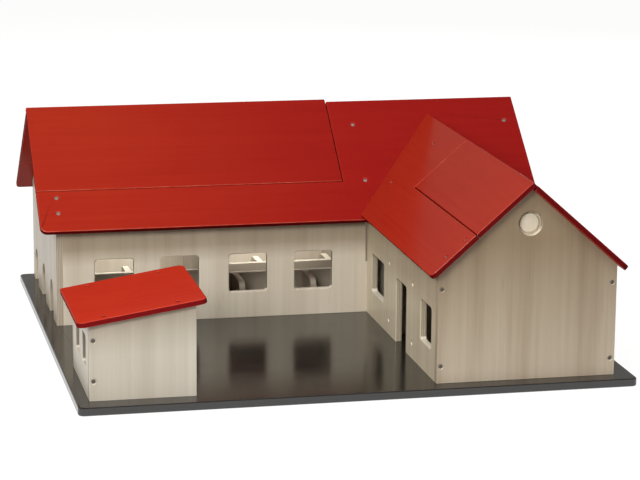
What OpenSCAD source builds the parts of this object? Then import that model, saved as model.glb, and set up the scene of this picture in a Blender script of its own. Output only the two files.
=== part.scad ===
// Wooden toy barn: an L-shaped farm building on one base board, with a long barn, a
// wing in front of its right half, a small lean-to shed and two lift-up roof flaps.
// Plan directions: X runs along the long barn, the yard is on the -Y side, Z is up.

/* [Board stock] */
// Thickness of the wall boards
wall = 10; // [8:0.5:12]
// Thickness of the roof boards
roof_thick = 8; // [6:0.5:10]
// Thickness of the base board
base_thick = 12; // [9:0.5:18]

/* [Base board] */
// Margin of the base board left of the long barn
margin_left = 22; // [18:1:60]
// Margin of the base board right of the long barn
margin_right = 28; // [5:1:60]
// Margin of the base board in front of the wing
margin_front = 26; // [5:1:60]
// Margin of the base board behind the long barn
margin_back = 19; // [5:1:60]
// Corner radius of the base board
base_corner = 9; // [3:1:20]

/* [Long barn] */
// Length of the long barn over its gable walls
barn_length = 750; // [700:1:840]
// Depth of the long barn over its long walls
barn_depth = 335; // [315:1:360]
// Height of the long barn's ridge above the base board
barn_ridge = 308; // [296:1:325]
// Pitch of the long barn's roof in degrees
barn_pitch = 39; // [37:0.5:41]
// Roof overhang beyond the left gable
overhang_left = 25; // [15:1:30]
// Roof overhang beyond the right gable
overhang_right = 16; // [13:1:30]
// Level distance from a long wall to the eave edge above it
eave_out = 23.7; // [18:0.1:28]
// Corner radius of the roof boards at the front eaves
roof_corner = 11; // [3:0.5:14]
// Level distance from the back face to the seam between the back slope's boards
back_seam = 42; // [36:0.5:60]

/* [Long barn openings] */
// Width and height of a barn window
window_size = 60; // [45:1:65]
// Height of the window sills above the base board
window_sill = 41.4; // [30:0.1:50]
// Corner radius of the windows
window_corner = 5; // [2:0.5:10]
// Middle of the first window from the left gable
window_first = 89; // [75:1:95]
// Distance of the fourth window's middle from the wing
window_last = 86; // [70:1:95]
// Width of an arched doorway in the left gable
arch_width = 50; // [40:1:56]
// Height of an arched doorway
arch_height = 56; // [48:1:70]
// Middle of the front arch from the barn's front face
arch_first = 72; // [65:1:80]
// Spacing of the arches
arch_pitch = 108; // [100:1:112]

/* [Wing] */
// Width of the wing over its side walls
wing_width = 263; // [250:1:275]
// Length of the wing in front of the long barn
wing_length = 420; // [410:1:430]
// Height of the wing's ridge above the base board
wing_ridge = 288; // [284:0.5:294]
// Pitch of the wing's roof in degrees
wing_pitch = 41.3; // [40:0.1:43]
// Overhang of the wing roof in front of its gable
wing_overhang = 13.4; // [8:0.1:20]
// Level distance from a wing wall to the eave edge above it
wing_eave_out = 15; // [10:0.5:20]
// Distance of the wide window from the long barn's front face
wide_window_start = 31; // [20:1:40]
// Width of the wide window next to the inner corner
wide_window = 79; // [60:1:85]
// Distance of the doorway from the long barn's front face
door_start = 185.5; // [170:0.5:195]
// Width of the doorway
door_width = 60; // [45:1:70]
// Height of the doorway
door_height = 98; // [80:1:110]
// Distance of the small window from the wing's front face
small_window_end = 33; // [20:1:45]
// Radius of the round gable window
round_window = 17.4; // [10:0.1:25]
// Radius of the round boss in it
round_boss = 14.3; // [6:0.1:17]
// Height of the middle of the round window
round_window_z = 226; // [210:1:232]
// Height of the two cross partitions in the wing
partition_height = 128; // [118:1:150]
// Distance of the rear partition from the long barn's front face
partition_rear = 140.5; // [130:0.5:150]
// Distance of the front partition from the long barn's front face
partition_front = 279.5; // [270:0.5:290]

/* [Roof flaps] */
// Distance of the long barn's flap from the wing
flap_short = 32; // [20:1:45]
// Level distance from the front face to the flap's lower edge
flap_low = 38.2; // [32:0.2:50]
// How far the long barn's flap runs past the ridge line
flap_proud = 5.4; // [4.5:0.1:6.5]
// Level distance from the wing's left face to its flap's lower edge
wing_flap_low = 50.5; // [42:0.5:60]
// Rear edge of the wing's flap in front of the long barn
wing_flap_rear = 93; // [80:1:110]
// Gap round a flap
flap_gap = 1; // [0.8:0.1:2.5]

/* [Hinges] */
// Length of a hinge along its pin
hinge_length = 40; // [30:1:60]
// Radius of the hinge knuckles
knuckle_radius = 1.9; // [1.7:0.05:2]
// Radius of the hinge pins
pin_radius = 1; // [0.8:0.05:1.1]
// Width of the hinge leaf on the fixed slope
leaf_width = 15; // [12:0.5:20]

/* [Stalls] */
// Height of the low stall boards
stall_height = 40; // [30:1:45]
// Clear width of the feed passage between the two passage boards
passage_width = 52; // [40:1:60]
// Length of a front stall divider
divider_front = 66; // [50:1:80]
// Length of a rear stall divider
divider_rear = 52; // [40:1:70]

/* [Shed] */
// Length of the shed along X
shed_length = 149; // [140:0.5:160]
// Depth of the shed along Y
shed_depth = 184.7; // [175:0.1:195]
// Distance of the shed's front face from the long barn's front face
shed_front = 414.8; // [405:0.1:418]
// Distance the shed stands left of the left gable
shed_left = 3.2; // [0:0.1:8]
// Height of the shed roof's top at its left edge
shed_low = 112.7; // [105:0.1:120]
// Pitch of the shed roof in degrees
shed_pitch = 8.9; // [7:0.1:12]

/* [Hidden] */

// colours of the painted and plain wood
red = [0.72, 0.1, 0.06];
maple = [0.86, 0.8, 0.7];
charcoal = [0.16, 0.16, 0.17];
steel = [0.72, 0.73, 0.74];
brass = [0.78, 0.64, 0.32];

// a length past any board, a length that joins solids, and the sides of round parts
far = 900;
merge = 0.01;
fine = 48;
rough = 24;

// long barn: middle line and slope sizes
barn_mid = barn_depth / 2;
roof_left = -overhang_left;
roof_right = barn_length + overhang_right;
roof_run = roof_right - roof_left;
eave_len = (barn_mid + eave_out) / cos(barn_pitch);
seam_len = (barn_mid - flap_low) / cos(barn_pitch);
back_seam_len = (barn_mid - back_seam) / cos(barn_pitch);
back_corner = 6;
board_gap = 0.6;
wall_top = barn_ridge - barn_mid * tan(barn_pitch) - roof_thick / cos(barn_pitch);
gable_peak = barn_ridge - roof_thick / cos(barn_pitch);

// wing: middle line and slope sizes
wing_right = barn_length;
wing_left = wing_right - wing_width;
wing_mid = (wing_left + wing_right) / 2;
wing_half = wing_width / 2;
wing_front = -wing_length;
wing_roof_front = wing_front - wing_overhang;
wing_eave_len = (wing_half + wing_eave_out) / cos(wing_pitch);
wing_seam_len = (wing_half - wing_flap_low) / cos(wing_pitch);
wing_peak = wing_ridge - roof_thick / cos(wing_pitch);
wing_top = wing_peak - wing_half * tan(wing_pitch);
wing_reach = barn_mid;

// windows of the long barn: even steps, then a shift of each to make room for the partition
window_step = (wing_left - window_last - window_first) / 3;
window_shift = [0, -2.5, 0.5, 0];
window_x = [for (i = [0 : 3]) window_first + i * window_step + window_shift[i]];

// round window: its middle stands right of the ridge, with a disc behind it
round_x = wing_mid + 1.5;
round_rim = 6;
round_plate = 5;
round_raise = 3;

// joints between boards: the fixed slopes start ridge_lap below the ridge, under the lapping
// boards, and the front wall and the wing's left wall are halved over each other
ridge_lap = roof_thick + 1;
lap_gap = 0.3;
valley_gap = 0.5;
notch_y = wall + lap_gap;
slot_z = wall_top / 2;
slot_slack = 2;
batten_width = 22;
batten_under = 14;

// the ground the base board covers and the box round the whole model
base_left = -margin_left;
base_right = barn_length + margin_right;
base_front = wing_front - margin_front;
base_back = barn_depth + margin_back;
box_left = min(base_left, roof_left);
box_right = max(base_right, roof_right);
box_front = min(base_front, wing_roof_front);
box_back = max(base_back, barn_depth + eave_out);

// hinge places: the pin stands h off the fixed slope, t down it from the ridge and a drop
// below the closed flap's underside; the wing's leaves are let in, the barn's lie on top
flap_right = wing_left - flap_short;
knuckles = 5;
knuckle_gap = 0.4;
knuckle_pocket = knuckle_radius + 0.5;
leaf_thick = 1;
leaf_high = knuckle_radius + 0.4;
leaf_under_top = 3.5;
leaf_play = 0.05;
leaf_screw_in = 8;
leaf_screw_edge = 5;
hinge_play = 0.06;
barn_hinge_h = knuckle_radius + 0.3;
barn_hinge_drop = knuckle_radius + 0.7;
barn_hinge_t = hinge_t(barn_pitch, barn_hinge_h, barn_hinge_drop);
barn_hinge_along = end_along(barn_pitch, flap_proud, barn_hinge_t, barn_hinge_h);
barn_leaf_base = -barn_hinge_h;
barn_hinge_inset = 90;
barn_hinge_x = [roof_left + barn_hinge_inset, flap_right - barn_hinge_inset];
wing_hinge_h = -0.6;
wing_hinge_drop = 1.2;
wing_hinge_t = hinge_t(wing_pitch, wing_hinge_h, wing_hinge_drop);
wing_hinge_along = end_along(wing_pitch, 0, wing_hinge_t, wing_hinge_h);
wing_leaf_base = -wing_hinge_h - leaf_thick;
wing_hinge_inset = 70;
wing_hinge_y = [wing_roof_front + wing_hinge_inset, -wing_flap_rear - wing_hinge_inset];

// screws: their heads are sunk in straight holes, with a cross recess in the head
screw_r = 1.5;
head_r = 2.9;
head_deep = 2.2;
head_sink = 1.6;
sink_r = 3.2;
screw_len = 20;
hole_play = 0.05;
recess_long = 3.2;
recess_wide = 0.7;
recess_deep = 1;
small_r = 0.9;
small_head = 1.4;
small_deep = 1;
small_len = 7;

// screw places: distances from the edges, ends and ridges that they go with
gable_inset = 6.3;
front_slope_screws = [4, 27.5, 38.5, 128.4];
back_slope_screws = [18, 60, 130];
wing_screw_low = 38;
wing_screw_high = 27;
wing_screw_corner = 11;
partition_screws = [23, partition_height - 16.6];
gable_screws_z = [24.5, wing_top - 26];
shed_screws_z = [27.3, 85];
shed_screws_in = [21.7, 25.3];
base_screw_in = 60;
base_screw_end = 18;

// stalls: where the dividers stand, as shares of the length of their room
barn_partition_x = (window_x[1] + window_x[2]) / 2 + wall / 2;
room_left = barn_partition_x + wall;
room_length = wing_left - room_left;
passage_front_y = barn_mid - passage_width / 2 - wall;
passage_rear_y = barn_mid + passage_width / 2;
partition_low = 100;
stall_round = 16;
front_dividers = [for (share = [0.185, 0.69]) room_left + share * room_length];
rear_dividers = [for (share = [0.425, 0.93]) room_left + share * room_length];
centre_start = wall + 0.26 * (barn_partition_x - wall);
centre_divider = wall + 0.523 * (barn_partition_x - wall);

// shed: walls, roof overhangs and the corner radii of its roof, from the front left on
shed_x = -shed_left;
shed_y = -shed_front;
shed_back = shed_y + shed_depth;
shed_roof_left = shed_x - 17;
shed_roof_right = shed_x + shed_length + 13.5;
shed_roof_front = shed_y - 10;
shed_roof_back = shed_back + 11.8;
shed_roof_len = (shed_roof_right - shed_roof_left) / cos(shed_pitch);
shed_roof_corners = [12, 9, 12, 4];
shed_wall_top = shed_low + (shed_x - shed_roof_left) * tan(shed_pitch) - roof_thick / cos(shed_pitch);
shed_window = 40;
shed_window_tall = 45;
shed_window_sill = 38;
shed_windows = [shed_y + 35, shed_y + 107];

// Frames

// puts the building frame so that the model's box stands centred on the ground
module site() {
    translate([-(box_left + box_right) / 2, -(box_front + box_back) / 2, base_thick])
        children();
}

// plane of the long barn's front slope: X along the ridge, Y up the slope from the ridge
module barn_front_plane() {
    translate([0, barn_mid, barn_ridge])
        rotate([barn_pitch, 0, 0])
            children();
}

// plane of the long barn's back slope: X along the ridge, Y down the slope from the ridge
module barn_back_plane() {
    translate([0, barn_mid, barn_ridge])
        rotate([-barn_pitch, 0, 0])
            children();
}

// plane of the wing's left slope: X up the slope to the ridge, Y along the ridge
module wing_left_plane() {
    translate([wing_mid, 0, wing_ridge])
        rotate([0, -wing_pitch, 0])
            children();
}

// plane of the wing's right slope: X down the slope from the ridge, Y along the ridge
module wing_right_plane() {
    translate([wing_mid, 0, wing_ridge])
        rotate([0, wing_pitch, 0])
            children();
}

// plane of the shed roof: X up the slope from its left edge
module shed_plane() {
    translate([shed_roof_left, 0, shed_low])
        rotate([0, -shed_pitch, 0])
            children();
}

// stands a drawing made in (y, z) up as a board of the wall thickness along X
module stand_x(x, thick = wall) {
    translate([x, 0, 0])
        rotate([90, 0, 90])
            linear_extrude(thick)
                children();
}

// stands a drawing made in (x, z) up as a board of the wall thickness along Y
module stand_y(y, thick = wall) {
    translate([0, y + thick, 0])
        rotate([90, 0, 0])
            linear_extrude(thick)
                children();
}

// Outlines

// rectangle from a to b with the corners of radius r
module rounded(a, b, r) {
    translate([a[0] + r, a[1]])
        square([b[0] - a[0] - 2 * r, b[1] - a[1]]);
    translate([a[0], a[1] + r])
        square([b[0] - a[0], b[1] - a[1] - 2 * r]);
    for (x = [a[0] + r, b[0] - r], y = [a[1] + r, b[1] - r])
        translate([x, y])
            circle(r, $fn = fine);
}

// what a rounded corner of radius r takes away from a square corner at the origin
module corner_waste(r) {
    difference() {
        translate([-r, -r])
            square(2 * r);
        translate([r, r])
            circle(r, $fn = fine);
    }
}

// rectangle from a to b with a corner radius of its own at each corner, from a's corner on
module rounded_each(a, b, radii) {
    difference() {
        translate(a)
            square(b - a);
        translate(a)
            corner_waste(radii[0]);
        translate([b[0], a[1]])
            mirror([1, 0])
                corner_waste(radii[1]);
        translate(b)
            rotate(180)
                corner_waste(radii[2]);
        translate([a[0], b[1]])
            mirror([0, 1])
                corner_waste(radii[3]);
    }
}

// rectangle from a to b whose top corners are rounded
module rounded_top(a, b, r) {
    rounded(a, b, r);
    translate(a)
        square([b[0] - a[0], b[1] - a[1] - r]);
}

// arched doorway standing on the ground with its middle at y
module arch(y, w, h) {
    translate([y, h - w / 2])
        circle(w / 2, $fn = fine);
    translate([y - w / 2, -wall])
        square([w, h - w / 2 + wall]);
}

// gable outline of the long barn in (y, z)
module barn_gable() {
    polygon([[0, 0], [barn_depth, 0], [barn_depth, wall_top], [barn_mid, gable_peak],
        [0, wall_top]]);
}

// gable outline of the wing in (x, z)
module wing_gable(x0, x1) {
    polygon([[x0, 0], [x1, 0], [x1, wing_peak - (x1 - wing_mid) * tan(wing_pitch)],
        [wing_mid, wing_peak], [x0, wing_peak - (wing_mid - x0) * tan(wing_pitch)]]);
}

// Screws

// shank and cone of a screw whose head's top is at z = 0, all grown by play
module screw_body(shank, head, deep, len, play) {
    translate([0, 0, -deep])
        cylinder(h = deep, r1 = shank + play, r2 = head + play, $fn = rough);
    translate([0, 0, -len - play])
        cylinder(h = len + play - deep + merge, r = shank + play, $fn = rough);
}

// countersunk screw, its head sunk below z = 0
module screw() {
    translate([0, 0, -head_sink])
        difference() {
            screw_body(screw_r, head_r, head_deep, screw_len, 0);
            for (a = [0, 90])
                rotate([0, 0, a])
                    translate([-recess_long / 2, -recess_wide / 2, -recess_deep])
                        cube([recess_long, recess_wide, 2 * recess_deep]);
        }
}

// hole that a screw sits in
module screw_hole() {
    translate([0, 0, -head_sink]) {
        screw_body(screw_r, head_r, head_deep, screw_len, hole_play);
        translate([0, 0, -merge])
            cylinder(h = head_sink + head_r, r = sink_r, $fn = rough);
    }
}

// small hinge screw, its head flush with z = 0
module small_screw() {
    screw_body(small_r, small_head, small_deep, small_len, 0);
}

// hole for a small hinge screw
module small_hole() {
    screw_body(small_r, small_head, small_deep, small_len, hole_play);
    translate([0, 0, -merge])
        cylinder(h = small_head, r = small_head + hole_play, $fn = rough);
}

// places of the screws through the long barn's front slope, as [x, level distance from the
// front face]
module barn_front_screw_places() {
    spots = [[wall / 2, front_slope_screws[0]], [wall / 2, front_slope_screws[1]],
        [wing_left + wall / 2, front_slope_screws[2]],
        [wing_left + wall / 2, front_slope_screws[3]],
        [barn_length - gable_inset, front_slope_screws[3]]];
    for (s = spots)
        barn_front_plane()
            translate([s[0], (s[1] - barn_mid) / cos(barn_pitch), 0])
                children();
}

// places of the screws through the long barn's back slope
module barn_back_screw_places() {
    for (x = [wall / 2, wing_left + wall / 2, barn_length - wall / 2], y = back_slope_screws)
        barn_back_plane()
            translate([x, (barn_mid - y) / cos(barn_pitch), 0])
                children();
}

// places of the screws through the wing's left slope
module wing_left_screw_places() {
    spots = [[wing_left + wing_screw_low, wall / 2], [wing_mid - wing_screw_high, wall / 2],
        [wing_left + wing_screw_low, wing_front + wall / 2],
        [wing_left + wing_screw_corner, wing_front + wall / 2]];
    for (s = spots)
        wing_left_plane()
            translate([(s[0] - wing_mid) / cos(wing_pitch), s[1], 0])
                children();
}

// places of the screws through the wing's right slope
module wing_right_screw_places() {
    for (x = [wing_mid + wing_screw_high, wing_right - wing_screw_low],
        y = [wall / 2, wing_front + wall / 2])
        wing_right_plane()
            translate([(x - wing_mid) / cos(wing_pitch), y, 0])
                children();
}

// places of the screws through the wing's side walls into the partitions
module wing_wall_screw_places() {
    for (y = [-partition_rear, -partition_front], z = partition_screws) {
        translate([wing_left, y, z])
            rotate([0, -90, 0])
                children();
        translate([wing_right, y, z])
            rotate([0, 90, 0])
                children();
    }
}

// places of the screws through the wing's gable wall into the side walls
module gable_screw_places() {
    for (x = [wing_left + gable_inset, wing_right - gable_inset], z = gable_screws_z)
        translate([x, wing_front, z])
            rotate([90, 0, 0])
                children();
}

// places of the screws through the shed's front and back walls into its left wall
module shed_wall_screw_places() {
    for (z = shed_screws_z) {
        translate([shed_x + gable_inset, shed_y, z])
            rotate([90, 0, 0])
                children();
        translate([shed_x + gable_inset, shed_back, z])
            rotate([-90, 0, 0])
                children();
    }
}

// places of the screws through the shed roof into the front and back walls
module shed_roof_screw_places() {
    for (x = [shed_x + shed_screws_in[0], shed_x + shed_length - shed_screws_in[1]],
        y = [shed_y + wall / 2, shed_back - wall / 2])
        shed_plane()
            translate([(x - shed_roof_left) / cos(shed_pitch), y, 0])
                children();
}

// places of the screws through the base board up into the walls
module base_screw_places() {
    front_y = wall / 2;
    back_y = barn_depth - wall / 2;
    gable_y = wing_front + wall / 2;
    side_y = [-base_screw_in, wing_front + base_screw_in];
    spots = concat(
        [for (x = [base_screw_in, wing_left / 2, wing_left - base_screw_in, wing_mid])
            [x, front_y]],
        [for (x = [base_screw_in, wing_left / 2, wing_mid]) [x, back_y]],
        [for (x = [wall / 2, barn_length - wall / 2]) [x, barn_depth - base_screw_end]],
        [for (x = [wing_left + wall / 2, wing_right - wall / 2], y = side_y) [x, y]],
        [[wall / 2, base_screw_end], [wing_mid, gable_y]],
        [for (x = [base_screw_end, shed_length - base_screw_end],
            y = [shed_y + wall / 2, shed_back - wall / 2]) [x, y]]);
    for (s = spots)
        translate([s[0], s[1], -base_thick])
            rotate([180, 0, 0])
                children();
}

// Hinges

// how far down the fixed slope a pin lies that stands h off it and a drop below the flap's
// underside, for roofs of pitch a
function hinge_t(a, h, drop) = (roof_thick + drop + h * cos(2 * a)) / sin(2 * a);

// where the flap's end face lies from that pin, in the flap's own direction, when the flap
// runs p past the ridge line
function end_along(a, p, t, h) = p - t * cos(2 * a) - h * sin(2 * a);

// frame of the long barn's flap hinges: X along the pin, Y down the slope, Z off it
module barn_hinge_frame() {
    translate([0, barn_mid, barn_ridge])
        rotate([-barn_pitch, 0, 0])
            translate([0, barn_hinge_t, barn_hinge_h])
                for (x = barn_hinge_x)
                    translate([x, 0, 0])
                        children();
}

// frame of the wing's flap hinges, turned so that it is used like the barn's
module wing_hinge_frame() {
    translate([wing_mid, 0, wing_ridge])
        rotate([0, 0, -90])
            rotate([-wing_pitch, 0, 0])
                translate([0, wing_hinge_t, wing_hinge_h])
                    for (y = wing_hinge_y)
                        translate([-y, 0, 0])
                            children();
}

// puts a piece at the start of each knuckle a leaf carries: the odd ones or the even ones
module knuckle_places(first) {
    for (i = [first : 2 : knuckles - 1])
        translate([-hinge_length / 2 + i * hinge_length / knuckles + knuckle_gap / 2, 0, 0])
            children();
}

// round bar along the pin from x = 0
module pin_bar(len, r) {
    rotate([0, 90, 0])
        cylinder(h = len, r = r, $fn = fine);
}

// the bar round the whole hinge from end to end, longer by over at both ends
module hinge_bar(r, over) {
    translate([-hinge_length / 2 - over, 0, 0])
        pin_bar(hinge_length + 2 * over, r);
}

// knuckle and the web that joins it to its leaf, from corner a to corner b in (y, z)
module knuckle_and_web(first, a, b) {
    wide = hinge_length / knuckles - knuckle_gap;
    knuckle_places(first) {
        pin_bar(wide, knuckle_radius);
        translate([0, a[0], a[1]])
            cube([wide, b[0] - a[0], b[1] - a[1]]);
    }
}

// places of the two screws in a leaf
module leaf_screw_places() {
    for (x = [leaf_screw_in - hinge_length / 2, hinge_length / 2 - leaf_screw_in])
        translate([x, 0, 0])
            children();
}

// places of the small screws in the fixed leaves, whose plates stand on z = base
module fixed_leaf_screws(base) {
    leaf_screw_places()
        translate([0, leaf_width - leaf_screw_edge, base + leaf_thick])
            children();
}

// leaf screwed to the fixed slope, with the outer knuckles
module fixed_leaf(base) {
    start = knuckle_radius + 1;
    difference() {
        union() {
            translate([-hinge_length / 2, start, base])
                cube([hinge_length, leaf_width - start, leaf_thick]);
            knuckle_and_web(0, [0, base], [start + merge, base + leaf_thick]);
        }
        hinge_bar(pin_radius, 1);
        fixed_leaf_screws(base)
            small_hole();
    }
}

// room for a leaf let into the fixed slope and for the knuckles
module fixed_leaf_pocket(base) {
    hinge_bar(knuckle_pocket, 1);
    translate([-hinge_length / 2 - leaf_play, 0, base - leaf_play])
        cube([hinge_length + 2 * leaf_play, leaf_width + leaf_play, far]);
    fixed_leaf_screws(base)
        small_hole();
}

// leaf let into the flap's end face, with the inner knuckles; the face lies at along from the
// pin in the flap's own directions, which are turned by twice the pitch a
module flap_leaf(a, along, drop) {
    low = max(drop, leaf_high);
    high = drop + roof_thick - leaf_under_top;
    difference() {
        rotate([2 * a, 0, 0])
            union() {
                translate([-hinge_length / 2, along - leaf_thick, low])
                    cube([hinge_length, leaf_thick, high - low]);
                knuckle_and_web(1, [along - leaf_thick, 0], [along, low + merge]);
            }
        hinge_bar(pin_radius + hinge_play, 1);
        flap_leaf_screws(a, along, drop)
            small_hole();
    }
}

// room for that leaf and the knuckles in the flap
module flap_leaf_pocket(a, along, drop) {
    hinge_bar(knuckle_pocket, 1);
    rotate([2 * a, 0, 0])
        translate([-hinge_length / 2 - leaf_play, along - leaf_thick - leaf_play, 0])
            cube([hinge_length + 2 * leaf_play, far,
                drop + roof_thick - leaf_under_top + leaf_play]);
    flap_leaf_screws(a, along, drop)
        small_hole();
}

// places of the small screws in a flap leaf, in the middle of its plate
module flap_leaf_screws(a, along, drop) {
    middle = (max(drop, leaf_high) + drop + roof_thick - leaf_under_top) / 2;
    rotate([2 * a, 0, 0])
        leaf_screw_places()
            translate([0, along, middle])
                rotate([-90, 0, 0])
                    children();
}

// Base and long barn

module base_board() {
    color(charcoal)
    difference() {
        translate([0, 0, -base_thick])
            linear_extrude(base_thick)
                rounded([base_left, base_front], [base_right, base_back], base_corner);
        base_screw_places()
            screw_hole();
    }
}

module gable_wall_left() {
    color(maple)
    difference() {
        stand_x(0)
            difference() {
                barn_gable();
                for (i = [0 : 2])
                    arch(arch_first + i * arch_pitch, arch_width, arch_height);
            }
        barn_front_screw_places()
            screw_hole();
        barn_back_screw_places()
            screw_hole();
        base_screw_places()
            screw_hole();
    }
}

module gable_wall_right() {
    color(maple)
    difference() {
        stand_x(barn_length - wall)
            difference() {
                barn_gable();
                translate([-wall, wing_top])
                    square([wall + notch_y, far]);
            }
        barn_front_screw_places()
            screw_hole();
        barn_back_screw_places()
            screw_hole();
        base_screw_places()
            screw_hole();
    }
}

// outline of the front wall in (x, z): the barn's eave height, then the wing's gable
module front_wall_outline() {
    translate([wall, 0])
        square([wing_left, wall_top]);
    wing_gable(wing_left + wall - merge, wing_right - wall);
}

module barn_front_wall() {
    color(maple)
    difference() {
        stand_y(0)
            difference() {
                front_wall_outline();
                for (x = window_x)
                    rounded([x - window_size / 2, window_sill],
                        [x + window_size / 2, window_sill + window_size], window_corner);
                translate([wing_left - slot_slack, slot_z])
                    square([wall + slot_slack, far]);
            }
        wing_left_screw_places()
            screw_hole();
        wing_right_screw_places()
            screw_hole();
        base_screw_places()
            screw_hole();
    }
}

module barn_back_wall() {
    color(maple)
    difference() {
        stand_y(barn_depth - wall)
            translate([wall, 0])
                square([barn_length - 2 * wall, wall_top]);
        base_screw_places()
            screw_hole();
    }
}

module barn_partition() {
    color(maple)
        stand_x(barn_partition_x)
            translate([wall, 0])
                square([barn_depth - 2 * wall, partition_low]);
}

// low board along the barn
module stall_board(x0, x1, y) {
    color(maple)
        translate([x0, y, 0])
            cube([x1 - x0, wall, stall_height]);
}

module stall_centre_board() {
    stall_board(centre_start, barn_partition_x, barn_mid - wall / 2);
}

module passage_board_front() {
    stall_board(barn_partition_x + wall, wing_left, passage_front_y);
}

module passage_board_rear() {
    stall_board(barn_partition_x + wall, wing_left, passage_rear_y);
}

// divider outline in (y, z): straight at y = 0, its far top corner rounded
module divider_outline(len) {
    square([len, stall_height - stall_round]);
    square([len - stall_round, stall_height]);
    translate([len - stall_round, stall_height - stall_round])
        circle(stall_round, $fn = fine);
}

module stall_dividers_front() {
    color(maple)
        for (x = front_dividers)
            translate([0, passage_front_y, 0])
                mirror([0, 1, 0])
                    stand_x(x - wall / 2)
                        divider_outline(divider_front);
}

module stall_dividers_rear() {
    color(maple) {
        for (x = rear_dividers)
            translate([0, passage_rear_y + wall, 0])
                stand_x(x - wall / 2)
                    divider_outline(divider_rear);
        translate([0, barn_mid + wall / 2, 0])
            stand_x(centre_divider - wall / 2)
                divider_outline(divider_rear);
    }
}

// outline of the front slope's fixed board, y = 0 at the ridge; it stops at the front wall's
// gable part and at the wing's left wall, and is square at the right end of the ridge
module barn_front_outline() {
    difference() {
        union() {
            rounded([roof_left, -eave_len], [roof_right, 0], roof_corner);
            translate([roof_right - 2 * roof_corner, -2 * roof_corner])
                square(2 * roof_corner);
        }
        translate([roof_left - far, -seam_len - flap_gap])
            square([far + flap_right - roof_left + flap_gap, far]);
        translate([wing_left - valley_gap, -far])
            square([far, far - barn_mid / cos(barn_pitch)]);
        translate([wing_left + wall - lap_gap, -far])
            square([far, far - (barn_mid - notch_y) / cos(barn_pitch)]);
    }
}

module barn_roof_front() {
    color(red)
    difference() {
        barn_front_plane()
            translate([0, 0, -roof_thick])
                linear_extrude(roof_thick)
                    barn_front_outline();
        barn_front_screw_places()
            screw_hole();
    }
}

module barn_roof_flap() {
    color(red)
    difference() {
        barn_front_plane()
            translate([0, 0, lap_gap - roof_thick])
                linear_extrude(roof_thick - lap_gap)
                    translate([roof_left, -seam_len])
                        square([flap_right - roof_left, seam_len + flap_proud]);
        barn_hinge_frame()
            flap_leaf_pocket(barn_pitch, barn_hinge_along, barn_hinge_drop);
    }
}

// upper board of the back slope, which carries the hinges
module barn_roof_back() {
    color(red)
    difference() {
        barn_back_plane()
            translate([roof_left, ridge_lap, -roof_thick])
                cube([roof_run, back_seam_len - ridge_lap, roof_thick]);
        barn_back_screw_places()
            screw_hole();
        barn_hinge_frame()
            fixed_leaf_screws(barn_leaf_base)
                small_hole();
    }
}

// lower board of the back slope, along the eave
module barn_roof_back_low() {
    low = back_seam_len + board_gap;
    color(red)
    difference() {
        barn_back_plane()
            translate([0, 0, -roof_thick])
                linear_extrude(roof_thick) {
                    rounded([roof_left, low], [roof_right, eave_len], back_corner);
                    translate([roof_left, low])
                        square([roof_run, 2 * back_corner]);
                }
        barn_back_screw_places()
            screw_hole();
    }
}

// batten under the fixed board that the flap's lower edge lies on
module barn_flap_rest() {
    color(maple)
        barn_front_plane()
            translate([wall, -seam_len - batten_under, -2 * roof_thick])
                cube([wing_left - wall, batten_width, roof_thick]);
}

// Wing

// outline of the wing's left wall in (y, z); it runs on through the long barn
module wing_left_outline() {
    difference() {
        union() {
            translate([wing_front + wall, 0])
                square([notch_y - wing_front - wall, wing_top]);
            intersection() {
                barn_gable();
                translate([notch_y, 0])
                    square([barn_depth - wall - notch_y, far]);
            }
        }
        rounded([-wide_window_start - wide_window, window_sill],
            [-wide_window_start, window_sill + window_size], window_corner);
        rounded_top([-door_start - door_width, -wall], [-door_start, door_height],
            window_corner);
        rounded([wing_front + small_window_end, window_sill],
            [wing_front + small_window_end + window_size, window_sill + window_size],
            window_corner);
        translate([0, -wall])
            square([wall, slot_z + wall]);
        translate([barn_mid - passage_width / 2, -wall])
            square([passage_width, door_height + wall]);
    }
}

module wing_left_wall() {
    color(maple)
    difference() {
        stand_x(wing_left)
            wing_left_outline();
        barn_front_screw_places()
            screw_hole();
        barn_back_screw_places()
            screw_hole();
        wing_wall_screw_places()
            screw_hole();
        gable_screw_places()
            screw_hole();
        base_screw_places()
            screw_hole();
    }
}

module wing_right_wall() {
    color(maple)
    difference() {
        stand_x(wing_right - wall)
            translate([wing_front + wall, 0])
                square([wing_length - wall, wing_top]);
        wing_wall_screw_places()
            screw_hole();
        gable_screw_places()
            screw_hole();
        base_screw_places()
            screw_hole();
    }
}

module wing_gable_wall() {
    color(maple)
    difference() {
        stand_y(wing_front)
            difference() {
                wing_gable(wing_left, wing_right);
                translate([round_x, round_window_z])
                    circle(round_window, $fn = 2 * fine);
            }
        wing_left_screw_places()
            screw_hole();
        wing_right_screw_places()
            screw_hole();
        gable_screw_places()
            screw_hole();
        base_screw_places()
            screw_hole();
    }
}

// light disc that closes the round window from behind, with a boss raised inside the window
module round_window_back() {
    color(maple)
        translate([round_x, wing_front + wall, round_window_z])
            rotate([-90, 0, 0]) {
                cylinder(h = round_plate, r = round_window + round_rim, $fn = 2 * fine);
                translate([0, 0, -round_raise])
                    cylinder(h = round_raise + merge, r = round_boss, $fn = 2 * fine);
            }
}

// cross partition of the wing
module wing_partition(y) {
    color(maple)
    difference() {
        stand_y(-y - wall / 2)
            translate([wing_left + wall, 0])
                square([wing_width - 2 * wall, partition_height]);
        wing_wall_screw_places()
            screw_hole();
    }
}

module wing_partition_rear() {
    wing_partition(partition_rear);
}

module wing_partition_front() {
    wing_partition(partition_front);
}

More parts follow.
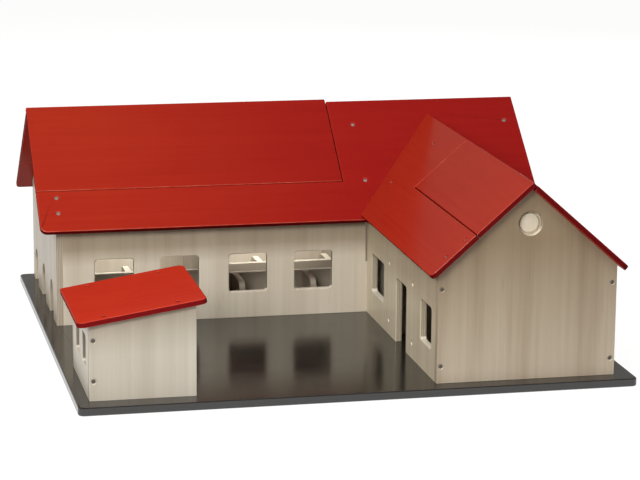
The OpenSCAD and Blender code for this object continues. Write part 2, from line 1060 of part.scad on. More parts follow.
// all that lies under the long barn's front slope, where the wing's boards must end
module under_barn_slope() {
    intersection() {
        barn_front_plane()
            translate([0, -2 * far, -far])
                cube([2 * far, 4 * far, far]);
        union() {
            translate([0, notch_y - lap_gap, 0])
                cube([far, far, far]);
            translate([0, -valley_gap, 0])
                cube([wing_left + wall, far, far]);
            translate([0, -far, 0])
                cube([wing_left - valley_gap, 2 * far, far]);
        }
    }
}

module wing_roof_left() {
    color(red)
    difference() {
        wing_left_plane()
            translate([0, 0, -roof_thick])
                linear_extrude(roof_thick)
                    difference() {
                        union() {
                            rounded([-wing_eave_len, wing_roof_front], [0, wing_reach],
                                roof_corner);
                            translate([-wing_eave_len, -wing_flap_rear])
                                square([wing_eave_len, wing_flap_rear + wing_reach]);
                        }
                        translate([-wing_seam_len - flap_gap, wing_roof_front - far])
                            square([far, far - wing_flap_rear - wing_roof_front + flap_gap]);
                    }
        under_barn_slope();
        wing_left_screw_places()
            screw_hole();
    }
}

module wing_roof_right() {
    color(red)
    difference() {
        wing_right_plane()
            translate([0, 0, -roof_thick])
                linear_extrude(roof_thick) {
                    rounded([ridge_lap, wing_roof_front], [wing_eave_len, wing_reach],
                        roof_corner);
                    translate([ridge_lap, wing_roof_front])
                        square([2 * roof_corner, wing_reach - wing_roof_front]);
                }
        under_barn_slope();
        wing_right_screw_places()
            screw_hole();
        wing_hinge_frame()
            fixed_leaf_pocket(wing_leaf_base);
    }
}

module wing_roof_flap() {
    color(red)
    difference() {
        wing_left_plane()
            translate([-wing_seam_len, wing_roof_front, lap_gap - roof_thick])
                cube([wing_seam_len, -wing_flap_rear - wing_roof_front, roof_thick - lap_gap]);
        wing_hinge_frame()
            flap_leaf_pocket(wing_pitch, wing_hinge_along, wing_hinge_drop);
    }
}

// batten under the fixed board that the wing flap's lower edge lies on
module wing_flap_rest() {
    color(maple)
        wing_left_plane()
            translate([-wing_seam_len - batten_under, wing_front + wall, -2 * roof_thick])
                cube([batten_width, -wing_front - wall - wing_flap_rear, roof_thick]);
}

// Shed

// outline of the shed's front and back walls in (x, z)
module shed_wall_outline() {
    polygon([[shed_x, 0], [shed_x + shed_length, 0],
        [shed_x + shed_length, shed_wall_top + shed_length * tan(shed_pitch)],
        [shed_x, shed_wall_top]]);
}

module shed_wall(y) {
    color(maple)
    difference() {
        stand_y(y)
            shed_wall_outline();
        shed_roof_screw_places()
            screw_hole();
        shed_wall_screw_places()
            screw_hole();
        base_screw_places()
            screw_hole();
    }
}

module shed_front_wall() {
    shed_wall(shed_y);
}

module shed_back_wall() {
    shed_wall(shed_back - wall);
}

module shed_left_wall() {
    color(maple)
    difference() {
        stand_x(shed_x)
            difference() {
                translate([shed_y + wall, 0])
                    square([shed_depth - 2 * wall, shed_wall_top]);
                for (y = shed_windows)
                    rounded([y, shed_window_sill],
                        [y + shed_window, shed_window_sill + shed_window_tall], window_corner);
            }
        shed_wall_screw_places()
            screw_hole();
    }
}

module shed_roof() {
    color(red)
    difference() {
        shed_plane()
            translate([0, 0, -roof_thick])
                linear_extrude(roof_thick)
                    rounded_each([0, shed_roof_front], [shed_roof_len, shed_roof_back],
                        shed_roof_corners);
        shed_roof_screw_places()
            screw_hole();
    }
}

// Hinges and screws of the model

module barn_hinge_flap_leaves() {
    color(brass)
        barn_hinge_frame()
            flap_leaf(barn_pitch, barn_hinge_along, barn_hinge_drop);
}

module barn_hinge_fixed_leaves() {
    color(brass)
        barn_hinge_frame()
            fixed_leaf(barn_leaf_base);
}

module barn_hinge_pins() {
    color(steel)
        barn_hinge_frame()
            hinge_bar(pin_radius, 0);
}

module barn_hinge_flap_screws() {
    color(brass)
        barn_hinge_frame()
            flap_leaf_screws(barn_pitch, barn_hinge_along, barn_hinge_drop)
                small_screw();
}

module barn_hinge_fixed_screws() {
    color(brass)
        barn_hinge_frame()
            fixed_leaf_screws(barn_leaf_base)
                small_screw();
}

module wing_hinge_flap_leaves() {
    color(brass)
        wing_hinge_frame()
            flap_leaf(wing_pitch, wing_hinge_along, wing_hinge_drop);
}

module wing_hinge_fixed_leaves() {
    color(brass)
        wing_hinge_frame()
            fixed_leaf(wing_leaf_base);
}

module wing_hinge_pins() {
    color(steel)
        wing_hinge_frame()
            hinge_bar(pin_radius, 0);
}

module wing_hinge_flap_screws() {
    color(brass)
        wing_hinge_frame()
            flap_leaf_screws(wing_pitch, wing_hinge_along, wing_hinge_drop)
                small_screw();
}

module wing_hinge_fixed_screws() {
    color(brass)
        wing_hinge_frame()
            fixed_leaf_screws(wing_leaf_base)
                small_screw();
}

module barn_roof_screws() {
    color(steel) {
        barn_front_screw_places()
            screw();
        barn_back_screw_places()
            screw();
    }
}

module wing_roof_screws() {
    color(steel) {
        wing_left_screw_places()
            screw();
        wing_right_screw_places()
            screw();
    }
}

module wing_wall_screws() {
    color(steel)
        wing_wall_screw_places()
            screw();
}

module gable_screws() {
    color(steel)
        gable_screw_places()
            screw();
}

module shed_screws() {
    color(steel) {
        shed_roof_screw_places()
            screw();
        shed_wall_screw_places()
            screw();
    }
}

module base_screws() {
    color(steel)
        base_screw_places()
            screw();
}

// The model

site() base_board();
site() gable_wall_left();
site() gable_wall_right();
site() barn_front_wall();
site() barn_back_wall();
site() barn_partition();
site() stall_centre_board();
site() passage_board_front();
site() passage_board_rear();
site() stall_dividers_front();
site() stall_dividers_rear();
site() barn_roof_front();
site() barn_roof_back();
site() barn_roof_back_low();
site() barn_roof_flap();
site() barn_flap_rest();
site() wing_left_wall();
site() wing_right_wall();
site() wing_gable_wall();
site() round_window_back();
site() wing_partition_rear();
site() wing_partition_front();
site() wing_roof_left();
site() wing_roof_right();
site() wing_roof_flap();
site() wing_flap_rest();
site() barn_hinge_flap_leaves();
site() barn_hinge_fixed_leaves();
site() barn_hinge_pins();
site() barn_hinge_flap_screws();
site() barn_hinge_fixed_screws();
site() wing_hinge_flap_leaves();
site() wing_hinge_fixed_leaves();
site() wing_hinge_pins();
site() wing_hinge_flap_screws();
site() wing_hinge_fixed_screws();
site() shed_front_wall();
site() shed_back_wall();
site() shed_left_wall();
site() shed_roof();
site() barn_roof_screws();
site() wing_roof_screws();
site() wing_wall_screws();
site() gable_screws();
site() shed_screws();
site() base_screws();
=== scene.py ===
# Looks of a wooden toy barn: clear-coated plywood walls, red lacquered roof boards and a
# dark polished base board, under soft studio light.
import math

import bpy
from mathutils import Matrix, Vector
from mathutils.kdtree import KDTree

MM = 0.001
X, Y, Z = 0, 1, 2
WHITE = (1, 1, 1)
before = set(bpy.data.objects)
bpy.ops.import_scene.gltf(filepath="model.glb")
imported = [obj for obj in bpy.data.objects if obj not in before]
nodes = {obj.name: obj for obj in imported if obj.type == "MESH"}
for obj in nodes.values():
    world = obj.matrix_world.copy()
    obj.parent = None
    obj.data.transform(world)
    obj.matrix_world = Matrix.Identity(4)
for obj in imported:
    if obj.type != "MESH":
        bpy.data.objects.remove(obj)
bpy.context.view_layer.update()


# Camera

# the view's lens, in pixels of a 640 px wide picture, and its place and turn
FOCAL_PX = 2446.5
PICTURE_WIDTH_PX = 640
SENSOR_MM = 36
CAMERA_AT = Vector((-0.77588, -3.58193, 0.96272))
CAMERA_YAW = 0.21995
CAMERA_PITCH = -0.22040
CAMERA_ROLL = 0.00852
NEAREST_SEEN, FARTHEST_SEEN = 0.05, 50


def make_camera():
    """Camera at the photograph's angle: yaw turns it right of +Y, pitch up, roll clockwise."""
    cy, sy = math.cos(CAMERA_YAW), math.sin(CAMERA_YAW)
    cp, sp = math.cos(CAMERA_PITCH), math.sin(CAMERA_PITCH)
    cr, sr = math.cos(CAMERA_ROLL), math.sin(CAMERA_ROLL)
    forward = Vector((sy * cp, cy * cp, sp))
    right = Vector((cy, -sy, 0))
    up = right.cross(forward)
    turned_right = right * cr + up * sr
    turned_up = up * cr - right * sr
    data = bpy.data.cameras.new("camera")
    data.sensor_width = SENSOR_MM
    data.lens = SENSOR_MM * FOCAL_PX / PICTURE_WIDTH_PX
    data.clip_start = NEAREST_SEEN
    data.clip_end = FARTHEST_SEEN
    camera = bpy.data.objects.new("camera", data)
    columns = (turned_right, turned_up, -forward)
    camera.matrix_world = Matrix.Translation(CAMERA_AT) @ Matrix(columns).transposed().to_4x4()
    bpy.context.scene.collection.objects.link(camera)
    bpy.context.scene.camera = camera


# Node helpers

class Nodes:
    """Fills one node tree. Each call adds a node and returns its output socket, except where
    it says otherwise."""

    def __init__(self, tree):
        self.tree = tree
        self.tree.nodes.clear()

    def node(self, kind, **settings):
        """Adds a node with these settings and returns the node itself."""
        made = self.tree.nodes.new(kind)
        for key, value in settings.items():
            setattr(made, key, value)
        return made

    def put(self, socket, value):
        """Links an output to an input socket, or sets a constant on it."""
        if isinstance(value, bpy.types.NodeSocket):
            self.tree.links.new(value, socket)
        elif isinstance(value, tuple) and len(value) == 3 and socket.type == "RGBA":
            socket.default_value = (*value, 1)
        else:
            socket.default_value = value

    def filled(self, kind, **sockets):
        """Adds a node with its sockets filled by name, _ standing for a space."""
        made = self.node(kind)
        for key, value in sockets.items():
            self.put(made.inputs[key.replace("_", " ")], value)
        return made.outputs[0]

    def place(self, stretch=(1, 1, 1), shift=(0, 0, 0)):
        coordinates = self.node("ShaderNodeTexCoord")
        mapping = self.node("ShaderNodeMapping")
        self.put(mapping.inputs["Vector"], coordinates.outputs["Object"])
        self.put(mapping.inputs["Scale"], stretch)
        self.put(mapping.inputs["Location"], shift)
        return mapping.outputs["Vector"]

    def grained(self, grain, across, along, shift):
        """The place, scaled otherwise along the grain axis than across it."""
        stretch = [across] * 3
        stretch[grain] = along
        return self.place(tuple(stretch), shift)

    def turn(self):
        """The surface's own normal, without the camera's or the light's part in it."""
        return self.node("ShaderNodeTexCoord").outputs["Normal"]

    def parts(self, vector):
        """The vector's three parts, as a list of sockets."""
        split = self.node("ShaderNodeSeparateXYZ")
        self.put(split.inputs[0], vector)
        return split.outputs

    def noise(self, vector, scale, detail=4, roughness=0.55, distortion=0):
        made = self.node("ShaderNodeTexNoise")
        self.put(made.inputs["Vector"], vector)
        self.put(made.inputs["Scale"], scale)
        self.put(made.inputs["Detail"], detail)
        self.put(made.inputs["Roughness"], roughness)
        self.put(made.inputs["Distortion"], distortion)
        return made.outputs["Fac"]

    def math(self, operation, a, b=0.0, clamp=False):
        made = self.node("ShaderNodeMath", operation=operation, use_clamp=clamp)
        self.put(made.inputs[0], a)
        self.put(made.inputs[1], b)
        return made.outputs[0]

    def fit(self, value, low, high, to_low=0.0, to_high=1.0, run="LINEAR"):
        """Maps low to high onto to_low to to_high, and holds it there beyond."""
        made = self.node("ShaderNodeMapRange", clamp=True, interpolation_type=run)
        self.put(made.inputs["Value"], value)
        self.put(made.inputs["From Min"], low)
        self.put(made.inputs["From Max"], high)
        self.put(made.inputs["To Min"], to_low)
        self.put(made.inputs["To Max"], to_high)
        return made.outputs["Result"]

    def mix(self, factor, a, b, blend="MIX"):
        made = self.node("ShaderNodeMix", data_type="RGBA", blend_type=blend)
        self.put(made.inputs["Factor"], factor)
        self.put(made.inputs[6], a)
        self.put(made.inputs[7], b)
        return made.outputs[2]

    def bump(self, height, distance, strength):
        made = self.node("ShaderNodeBump")
        self.put(made.inputs["Height"], height)
        self.put(made.inputs["Distance"], distance)
        self.put(made.inputs["Strength"], strength)
        return made.outputs["Normal"]

    def choose(self, factor, a, b):
        """Shader a where the factor is 0, and b where it is 1."""
        made = self.node("ShaderNodeMixShader")
        for socket, value in zip(made.inputs, (factor, a, b)):
            self.put(socket, value)
        return made.outputs[0]


class Material(Nodes):
    """The node tree of one new material."""

    def __init__(self, name):
        self.material = bpy.data.materials.new(name)
        self.material.use_nodes = True
        super().__init__(self.material.node_tree)
        self.output = self.node("ShaderNodeOutputMaterial")

    def show(self, shader):
        self.put(self.output.inputs["Surface"], shader)
        return self.material

    def surface(self, **sockets):
        return self.show(self.filled("ShaderNodeBsdfPrincipled", **sockets))


# Materials

WOOD_PALE = (0.66, 0.59, 0.475)
WOOD_DEEP = (0.44, 0.355, 0.25)
WOOD_BAND = (0.33, 0.25, 0.165)
WOOD_FLECK = (0.34, 0.25, 0.16)
WOOD_EDGE_PALE = (0.50, 0.43, 0.33)
WOOD_EDGE_DARK = (0.22, 0.17, 0.12)
WOOD_SILL_LIT = (0.80, 0.73, 0.60)
WOOD_SHADE = (0.50, 0.43, 0.34)
PLY = 2.6 * MM
WOOD_RELIEF = 0.12 * MM


def ply_stripes(s, thin, offset):
    """1 in the dark plies of a sawn edge, 0 in the pale ones between them."""
    depth = s.parts(s.place())[thin]
    ply = s.math("FRACT", s.math("MULTIPLY", depth, 1 / PLY))
    dark_ply = s.fit(s.math("ABSOLUTE", s.math("SUBTRACT", ply, 0.5)), 0.2, 0.3, 1.0, 0.0)
    rough_end = s.noise(s.place((900, 900, 900), offset), 1.0, 2)
    return s.math("MULTIPLY", dark_ply, s.fit(rough_end, 0.3, 0.7, 0.3, 0.8))


def plywood(name, grain, thin, seed, tint, streaky, painted_shade_span, raw):
    """Clear-coated plywood. grain is the axis its fibres run along, thin the board's thickness.
    streaky is how strongly the brown bands of the figure show. The next argument gives the
    painted shade under the roof: the heights between which the face is painted darker towards
    the roof, and how dark it gets. raw is how pale the sawn edges are."""
    s = Material(name)
    offset = (seed * 3.1, seed * 1.7, seed * 2.3)

    def tinted(colour):
        return tuple(a * b for a, b in zip(colour, tint))

    fibres = s.noise(s.grained(grain, 75.0, 1.6, offset), 1.0, 6, 0.65, 0.1)
    bands = s.noise(s.grained(grain, 26.0, 0.9, offset), 1.0, 4, 0.6, 0.15)
    cloud = s.noise(s.grained(grain, 7.0, 2.0, offset), 1.0, 2, 0.5)
    flecks = s.noise(s.grained(grain, 420.0, 26.0, offset), 1.0, 2, 0.5)
    deep = tinted(WOOD_DEEP)
    face = s.mix(s.fit(fibres, 0.3, 0.75, 0.0, 0.42), tinted(WOOD_PALE), deep)
    face = s.mix(s.fit(bands, 0.44, 0.72, 0.0, streaky), face, tinted(WOOD_BAND))
    face = s.mix(s.fit(cloud, 0.35, 0.7, 0.0, 0.22), face, deep)
    face = s.mix(s.fit(flecks, 0.66, 0.8, 0.0, 0.3), face, tinted(WOOD_FLECK))
    # painted shade: the face is painted darker towards the roof, as if in the roof's shadow
    if painted_shade_span:
        low, high, most = painted_shade_span
        height = s.parts(s.place())[Z]
        shade = s.mix(s.fit(height, low, high, 0.0, most), (1.0, 1.0, 1.0), WOOD_SHADE)
        face = s.mix(1.0, face, shade, "MULTIPLY")
    # plies show where the surface looks along the board and not out of its face
    turn = s.parts(s.turn())
    edge = s.fit(s.math("ABSOLUTE", turn[thin]), 0.3, 0.62, 1.0, 0.0)
    pale_end = tuple(c * raw for c in tinted(WOOD_EDGE_PALE))
    end = s.mix(ply_stripes(s, thin, offset), pale_end, WOOD_EDGE_DARK)
    # painted light: the sills, which face up, are painted pale as if lit from above, while the jambs
    # stay raw
    end = s.mix(s.fit(turn[Z], 0.2, 0.6), end, WOOD_SILL_LIT)
    height = s.math("ADD", s.math("MULTIPLY", fibres, 0.7), s.math("MULTIPLY", flecks, 0.3))
    return s.surface(Base_Color=s.mix(edge, face, end), Roughness=s.fit(fibres, 0.3, 0.7, 0.36, 0.48),
                     Normal=s.bump(height, WOOD_RELIEF, 0.3), Coat_Weight=0.15,
                     Coat_Roughness=0.22, Specular_IOR_Level=0.35)


RED = (0.50, 0.030, 0.013)
RED_FAR = (0.42, 0.012, 0.010)
RED_EDGE = (0.17, 0.006, 0.007)
RED_PAINTED_HIGHLIGHT = (0.72, 0.17, 0.11)
# painted sheen: where the red turns from the bright orange of a warm light's reflection to deep red
# along the long barn
RED_SHEEN_SPAN = (-0.30, 0.12)
PAINT_RELIEF = 0.05 * MM


def lacquer(name, grain, face, seed, depth, coat, painted_sheen):
    """Red lacquer on plywood: the grain shows through the gloss as faint streaks, and the
    sawn edges have drunk the paint and are darker. grain is the axis the fibres run along,
    face the way the board faces, depth how bright the red is and coat how glossy. The last
    argument asks for a painted sheen of warm light: a brighter, more orange red to the left and a
    deeper red to the right."""
    s = Material(name)
    offset = (seed * 2.7, seed * 1.3, seed * 3.9)
    fibres = s.noise(s.grained(grain, 120.0, 3.0, offset), 1.0, 5, 0.6, 0.1)
    cloud = s.noise(s.grained(grain, 6.0, 2.5, offset), 1.0, 2, 0.5)
    pores = s.noise(s.grained(grain, 520.0, 30.0, offset), 1.0, 2, 0.5)
    colour = tuple(c * depth for c in RED)
    # painted sheen: the red is brighter and more orange to the left, as a warm light's reflection,
    # and deeper to the right
    if painted_sheen:
        along_barn = s.parts(s.place())[X]
        far = tuple(c * depth for c in RED_FAR)
        colour = s.mix(s.fit(along_barn, *RED_SHEEN_SPAN), colour, far)
    deep = s.mix(1.0, colour, (0.72, 0.45, 0.55), "MULTIPLY")
    light = s.mix(1.0, colour, (1.1, 1.5, 1.3), "MULTIPLY")
    colour = s.mix(s.fit(fibres, 0.3, 0.8, 0.0, 0.45), colour, deep)
    colour = s.mix(s.fit(cloud, 0.3, 0.75, 0.0, 0.4), colour, light)
    colour = s.mix(s.fit(pores, 0.64, 0.8, 0.0, 0.3), colour, deep)
    # how squarely the surface looks out of the board's face: 1 on it, 0 on a sawn edge
    turned = s.node("ShaderNodeVectorMath", operation="DOT_PRODUCT")
    s.put(turned.inputs[0], s.turn())
    s.put(turned.inputs[1], tuple(face))
    level = s.math("ABSOLUTE", turned.outputs["Value"])
    edge = s.fit(level, 0.3, 0.6, 1.0, 0.0)
    colour = s.mix(edge, colour, tuple(c * depth for c in RED_EDGE))
    # painted highlight: a lighter red along the rounded rims that face the front, as if they caught
    # the light, broken up in patches
    rim_highlight = s.math("MULTIPLY", s.fit(level, 0.5, 0.66), s.fit(level, 0.9, 0.985, 1.0, 0.0))
    highlight_breakup = s.noise(s.place((60, 60, 60), offset), 1.0, 2)
    rim_highlight = s.math("MULTIPLY", rim_highlight, s.fit(highlight_breakup, 0.3, 0.6, 0.25, 0.7))
    rim_highlight = s.math("MULTIPLY", rim_highlight, s.fit(s.parts(s.turn())[Y], -0.65, -0.5, 1.0, 0.0))
    colour = s.mix(rim_highlight, colour, RED_PAINTED_HIGHLIGHT)
    height = s.math("ADD", s.math("MULTIPLY", fibres, 0.6), s.math("MULTIPLY", pores, 0.4))
    normal = s.bump(height, PAINT_RELIEF, 0.3)
    return s.surface(Base_Color=colour, Roughness=s.fit(fibres, 0.25, 0.8, 0.26, 0.34),
                     Normal=normal, Coat_Weight=s.fit(level, 0.3, 0.6, 0.04, coat),
                     Coat_Roughness=0.16, Coat_Normal=normal, Specular_IOR_Level=0.0)


BASE_DARK = (0.011, 0.010, 0.0095)
BASE_SPECK = (0.022, 0.020, 0.019)
BASE_PEEL = 0.03 * MM


def polished_base():
    """Dark charcoal coat with a fine peel and a few wear marks, glossy enough to mirror."""
    s = Material("base_coat")
    fine = s.noise(s.place((700, 700, 700)), 1.0, 2, 0.5)
    cloud = s.noise(s.place((4, 4, 4)), 1.0, 3, 0.5)
    smear = s.noise(s.place((9, 30, 9)), 1.0, 4, 0.6, 0.6)
    return s.surface(Base_Color=s.mix(s.fit(fine, 0.45, 0.75), BASE_DARK, BASE_SPECK),
                     Roughness=s.fit(s.math("ADD", cloud, smear), 0.7, 1.3, 0.13, 0.2),
                     Normal=s.bump(fine, BASE_PEEL, 0.25), IOR=1.7)


SCRATCH_DEPTH = 0.02 * MM
CLOUDED = 0.62


def metal(name, colour, rough_low, rough_high, seed):
    """Plated metal with fine scratches and a clouded gloss."""
    s = Material(name)
    offset = (seed * 1.9, seed * 2.9, seed * 0.7)
    cloud = s.noise(s.place((160, 160, 160), offset), 1.0, 3)
    scratch = s.noise(s.place((2600, 300, 1100), offset), 1.0, 3, 0.6)
    clouded = tuple(c * CLOUDED for c in colour)
    return s.surface(Base_Color=s.mix(s.fit(cloud, 0.3, 0.75, 0.0, 0.6), colour, clouded),
                     Metallic=1.0, Roughness=s.fit(scratch, 0.3, 0.7, rough_low, rough_high),
                     Normal=s.bump(scratch, SCRATCH_DEPTH, 0.4))


# each board's grain axis, the axis it is thin along, and its tone, as one share or one for
# each of red, green and blue
BOARDS = {
    "gable_wall_left": (Z, X, 1.0), "gable_wall_right": (Z, X, 1.0),
    "barn_front_wall": (Z, Y, (1.07, 1.09, 1.12)), "barn_back_wall": (Z, Y, 1.02),
    "barn_partition": (Z, X, 0.98), "stall_centre_board": (X, Y, 1.04),
    "passage_board_front": (X, Y, 1.05), "passage_board_rear": (X, Y, 1.02),
    "stall_dividers_front": (Y, X, 1.05), "stall_dividers_rear": (Y, X, 1.05),
    "barn_flap_rest": (X, Y, 0.96), "wing_left_wall": (Z, X, (1.06, 1.06, 1.0)),
    "wing_right_wall": (Z, X, 1.0), "wing_gable_wall": (Z, Y, (0.87, 0.84, 0.82)),
    "round_window_back": (Z, Y, 1.12), "wing_partition_rear": (Z, Y, 1.0),
    "wing_partition_front": (Z, Y, 1.01), "wing_flap_rest": (Y, X, 0.96),
    "shed_front_wall": (Z, Y, (0.92, 0.96, 1.03)), "shed_back_wall": (Z, Y, 1.0),
    "shed_left_wall": (Z, X, (1.16, 1.22, 1.30)),
}
# how strongly a board's brown bands show, where it isn't the usual share
STREAKY = {"wing_gable_wall": 0.75, "shed_front_wall": 0.3, "shed_left_wall": 0.1}
USUAL_STREAKS = 0.25
# painted shade under the roof: where a wall is painted darker towards the roof, from which height, to
# which, and how much
PAINTED_ROOF_SHADE = {
    "wing_gable_wall": (0.03, 0.26, 1.25), "barn_front_wall": (0.104, 0.13, 0.7),
    "shed_front_wall": (0.075, 0.125, 0.45), "wing_left_wall": (0.095, 0.13, 0.5),
}
# walls whose sawn jambs are darker than the others
RAW_JAMBS = {"barn_front_wall": 0.5, "shed_left_wall": 0.45}
# painted shade: the screws of these walls get a dark zinc that stands for the shade deep in their
# holes
SCREWS_IN_PAINTED_SHADE = ("gable_screws", "shed_screws")
# each roof board's grain axis, how bright its red is, and the weight of its gloss
ROOFS = {
    "barn_roof_front": (X, 0.76, 0.25), "barn_roof_back": (X, 0.66, 0.25),
    "barn_roof_back_low": (X, 0.66, 0.25), "barn_roof_flap": (X, 0.74, 0.25),
    "wing_roof_left": (Y, 0.78, 0.45), "wing_roof_right": (Y, 0.74, 0.25),
    "wing_roof_flap": (Y, 0.77, 0.45), "shed_roof": (X, 0.98, 0.25),
}


def face_of(made):
    """Direction of a board's broad face, from the area of its polygons."""
    areas = {}
    for polygon in made.data.polygons:
        upward = polygon.normal if polygon.normal.z > 0 else -polygon.normal
        normal = tuple(round(c, 2) for c in upward)
        areas[normal] = areas.get(normal, 0) + polygon.area
    return Vector(max(areas, key=areas.get)).normalized()


def dress():
    """Gives every node its material."""
    zinc = metal("zinc", (0.95, 0.88, 0.84), 0.4, 0.55, 1)
    painted = metal("red_paint_on_brass", (0.42, 0.03, 0.02), 0.3, 0.42, 2)
    # painted shade: dark zinc for the screws that sit in shade deep in their holes
    dark = metal("zinc_in_painted_shade", (0.16, 0.14, 0.12), 0.3, 0.5, 3)
    for seed, (name, made) in enumerate(sorted(nodes.items()), 1):
        if name in BOARDS:
            grain, thin, tone = BOARDS[name]
            tint = tone if isinstance(tone, tuple) else (tone, tone, tone)
            material = plywood(name + "_wood", grain, thin, seed, tint,
                               STREAKY.get(name, USUAL_STREAKS), PAINTED_ROOF_SHADE.get(name),
                               RAW_JAMBS.get(name, 1.0))
        elif name in ROOFS:
            grain, depth, coat = ROOFS[name]
            material = lacquer(name + "_paint", grain, face_of(made), seed, depth, coat,
                               name.startswith("barn"))
        elif name == "base_board":
            material = polished_base()
        elif "hinge" in name and "pins" not in name:
            material = painted
        elif name in SCREWS_IN_PAINTED_SHADE:
            material = dark
        else:
            material = zinc
        made.data.materials.clear()
        made.data.materials.append(material)


# Edges

GRID = 1e-5
SHARP = math.cos(math.radians(35))
# how near a screw's corner an edge of its hole is, and how near a hinge's an edge of its
# pocket, which is never longer than this
SCREW_NEAR = 0.6 * MM
HINGE_NEAR = 7 * MM
POCKET_EDGE = 45 * MM
VALLEY_NEAR = 1.5 * MM
# how much of the rounding the outline of a wall gets
OUTER_SHARE = 0.35
# each rounding's width and its number of steps
WALL_ROUND = (1.5 * MM, 3)
ROOF_ROUND = (1.5 * MM, 4)
BASE_ROUND = (2.0 * MM, 4)
FLAT_WITHIN = math.radians(0.6)


def key_of(point):
    return tuple(round(c / GRID) for c in point)


def sharp_edges(mesh):
    """Edges that stand out where two faces meet at an angle, keyed by their end points."""
    faces = {}
    for polygon in mesh.polygons:
        corners = [key_of(mesh.vertices[i].co) for i in polygon.vertices]
        side = (polygon.normal.copy(), polygon.center.copy())
        for a, b in zip(corners, corners[1:] + corners[:1]):
            faces.setdefault(frozenset((a, b)), []).append(side)
    return {
        pair for pair, sides in faces.items()
        if len(sides) == 2 and sides[0][0].dot(sides[1][0]) < SHARP
        and (sides[1][1] - sides[0][1]).dot(sides[0][0]) < 0
    }


def corner_points(*words):
    """Every corner of the pieces that have one of these words in their names."""
    found = [v.co for name, made in nodes.items() if any(word in name for word in words)
             for v in made.data.vertices]
    tree = KDTree(len(found))
    for i, point in enumerate(found):
        tree.insert(point, i)
    tree.balance()
    return tree


def edges_of_fittings():
    """Gives the test for an edge, from a to b, that belongs to a screw's hole or to a hinge's
    pocket."""
    screws, hinges = corner_points("screws"), corner_points("leaves", "pins")

    def of_fitting(a, b):
        middle = (a + b) / 2
        hole = screws.find(middle)[2] < SCREW_NEAR or all(
            screws.find(end)[2] < SCREW_NEAR for end in (a, b))
        pocket = (a - b).length < POCKET_EDGE and hinges.find(middle)[2] < HINGE_NEAR
        return hole or pocket

    return of_fitting


def edges_in_valley():
    """Gives the test for an edge, from a to b, in the plane of the long barn's front slope,
    in which the wing's boards are cut off."""
    slope = nodes["barn_roof_front"]
    normal = face_of(slope)
    level = max(v.co.dot(normal) for v in slope.data.vertices)

    def in_valley(a, b):
        return all(abs(end.dot(normal) - level) < VALLEY_NEAR for end in (a, b))

    return in_valley


def soften(name, rounding, kept_crisp, thin=None):
    """Rounds a board's edges over, apart from those that one of the tests keeps crisp. A
    wall, which is thin along the axis given, butts against others, and so its outline is
    rounded less than its openings."""
    made = nodes[name]
    mesh = made.data
    sharp = sharp_edges(mesh)
    weights = mesh.attributes.new("bevel_weight_edge", "FLOAT", "EDGE")
    box = [[pick(v.co[axis] for v in mesh.vertices) for pick in (min, max)] for axis in (X, Y, Z)]
    for edge in mesh.edges:
        a, b = (mesh.vertices[i].co for i in edge.vertices)
        is_sharp = frozenset((key_of(a), key_of(b))) in sharp
        crisp = any(test(a, b) for test in kept_crisp)
        outer = thin is not None and any(
            abs(a[axis] - end) < GRID and abs(b[axis] - end) < GRID
            for axis in (X, Y, Z) if axis != thin for end in box[axis])
        share = OUTER_SHARE if outer else 1.0
        weights.data[edge.index].value = share if is_sharp and not crisp else 0.0
    for polygon in mesh.polygons:
        polygon.use_smooth = False
    if "custom_normal" in mesh.attributes:
        mesh.attributes.remove(mesh.attributes["custom_normal"])
    weld = made.modifiers.new("weld", "WELD")
    weld.merge_threshold = GRID
    flat = made.modifiers.new("merge_flat_faces", "DECIMATE")
    flat.decimate_type = "DISSOLVE"
    flat.angle_limit = FLAT_WITHIN
    flat.delimit = {"SHARP"}
    bevel = made.modifiers.new("round_edges", "BEVEL")
    bevel.limit_method = "WEIGHT"
    bevel.width, bevel.segments = rounding
    bevel.use_clamp_overlap = False
    bevel.miter_outer = "MITER_SHARP"


def round_boards():
    of_fitting, in_valley = edges_of_fittings(), edges_in_valley()
    for name, (_, thin, _) in BOARDS.items():
        soften(name, WALL_ROUND, [of_fitting], thin)
    for name in ROOFS:
        on_wing = name.startswith("wing_roof")
        soften(name, ROOF_ROUND, [of_fitting, in_valley] if on_wing else [of_fitting])
    soften("base_board", BASE_ROUND, [of_fitting])


# Stage and light

# rays that see the white background: the camera's, and those that mirror or pass it on
SEEN_BY = ("Is Camera Ray", "Is Glossy Ray", "Is Transmission Ray")
FLOOR_SIZE = 30
FLOOR_DROP = 0.2 * MM
# the floor under the rays that only carry light, and its shadow and its glow as it is seen
FLOOR_LIT = (0.42, 0.42, 0.42)
FLOOR_SHADOWED = (0.14, 0.14, 0.14)
FLOOR_GLOW = 0.93
# a dim ceiling that only dark gloss and the object's upper faces look at
CEILING = 0.28
CEILING_COLOUR = (1, 0.95, 0.86)
# heights in degrees between which the white round the horizon gives way to the ceiling
HORIZON_DEG = (5.0, 12.0)


def seen_rays(n, path):
    """1 for the rays that show the background, 0 for those that only carry light."""
    total = path.outputs[SEEN_BY[0]]
    for name in SEEN_BY[1:]:
        total = n.math("ADD", total, path.outputs[name], clamp=True)
    return total


def make_floor():
    """Pale floor that shows white and keeps a faint shadow of the object."""
    bpy.ops.mesh.primitive_plane_add(size=FLOOR_SIZE, location=(0, 0, -FLOOR_DROP))
    floor = bpy.context.object
    floor.name = "floor"
    s = Material("floor_white")
    lit = s.filled("ShaderNodeBsdfDiffuse", Color=FLOOR_LIT)
    shadowed = s.filled("ShaderNodeBsdfDiffuse", Color=FLOOR_SHADOWED)
    glow = s.filled("ShaderNodeEmission", Color=WHITE, Strength=FLOOR_GLOW)
    white = s.node("ShaderNodeAddShader")
    s.put(white.inputs[0], shadowed)
    s.put(white.inputs[1], glow)
    seen = seen_rays(s, s.node("ShaderNodeLightPath"))
    floor.data.materials.append(s.show(s.choose(seen, lit, white.outputs[0])))


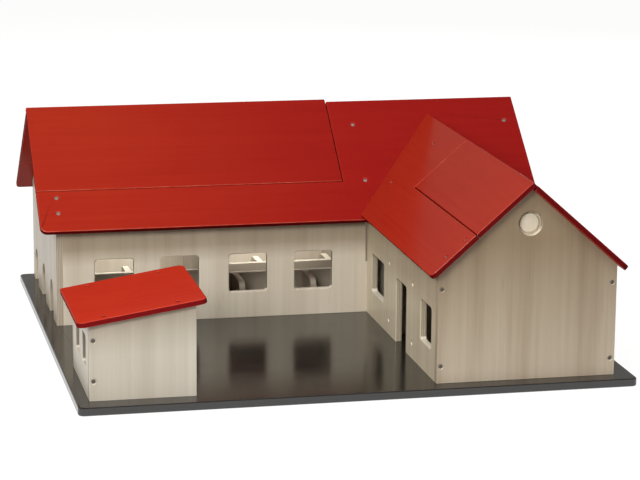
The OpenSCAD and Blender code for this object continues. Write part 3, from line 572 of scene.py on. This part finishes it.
def make_world():
    """White to the camera, and round the horizon also to the mirroring surfaces, with the dim
    ceiling above that."""
    world = bpy.data.worlds.new("studio")
    bpy.context.scene.world = world
    world.use_nodes = True
    n = Nodes(world.node_tree)
    output = n.node("ShaderNodeOutputWorld")
    white = n.filled("ShaderNodeBackground", Color=WHITE, Strength=1.0)
    dim = n.filled("ShaderNodeBackground", Color=CEILING_COLOUR, Strength=CEILING)
    path = n.node("ShaderNodeLightPath")
    height = n.parts(n.node("ShaderNodeTexCoord").outputs["Generated"])[Z]
    low, high = (math.sin(math.radians(angle)) for angle in HORIZON_DEG)
    near_horizon = n.fit(height, low, high, 1.0, 0.0, "SMOOTHSTEP")
    white_there = n.math("MAXIMUM", near_horizon, path.outputs["Is Camera Ray"])
    share = n.math("MULTIPLY", seen_rays(n, path), white_there)
    n.put(output.inputs[0], n.choose(share, dim, white))


KEY_COLOUR = (1, 0.985, 0.96)
ROOM_COLOUR = (1, 0.98, 0.95)
# the middles of the rooms along the long barn
ROOMS = {"room_left": -0.247, "room_middle": -0.004}
# small lamps under the ridge, which light each room's back wall behind the windows: where
# each is and where it points, in depth and height, and its power
ROOM_LAMPS = {
    "": ((0.197, 0.165), (0.247, 0.08), 0.11),
    "_back": ((0.262, 0.15), (0.31, 0.08), 0.1),
}
ROOM_LAMP_SIZE = (0.19, 0.02)
ROOM_SPREAD = 95


def softbox(name, at, look_at, size, power, colour=WHITE, glossy=True, spread=180):
    data = bpy.data.lights.new(name, "AREA")
    data.shape = "RECTANGLE"
    data.size, data.size_y = size
    data.energy = power
    data.color = colour
    data.spread = math.radians(spread)
    lamp = bpy.data.objects.new(name, data)
    lamp.location = at
    lamp.rotation_euler = (Vector(look_at) - Vector(at)).to_track_quat("-Z", "Y").to_euler()
    lamp.visible_camera = False
    lamp.visible_glossy = glossy
    bpy.context.scene.collection.objects.link(lamp)


def make_light():
    softbox("key", (-1.5, -2.4, 1.4), (-0.15, 0, 0.1), (1.3, 0.9), 56, KEY_COLOUR)
    softbox("fill_right", (2.6, -2.4, 1.2), (0, 0, 0.1), (1.4, 1.4), 7)
    softbox("overhead", (-0.7, -1.2, 2.2), (-0.1, 0, 0.1), (1.4, 1.0), 26, glossy=False)
    softbox("rear", (1.2, 2.6, 1.5), (0, 0.1, 0.1), (1.4, 1.0), 30, glossy=False)
    for room, x in ROOMS.items():
        for end, (at, look_at, power) in ROOM_LAMPS.items():
            softbox(room + end, (x, *at), (x, *look_at), ROOM_LAMP_SIZE, power, ROOM_COLOUR,
                    glossy=False, spread=ROOM_SPREAD)


make_camera()
dress()
round_boards()
make_floor()
make_world()
make_light()
bpy.context.scene.view_settings.view_transform = "Standard"
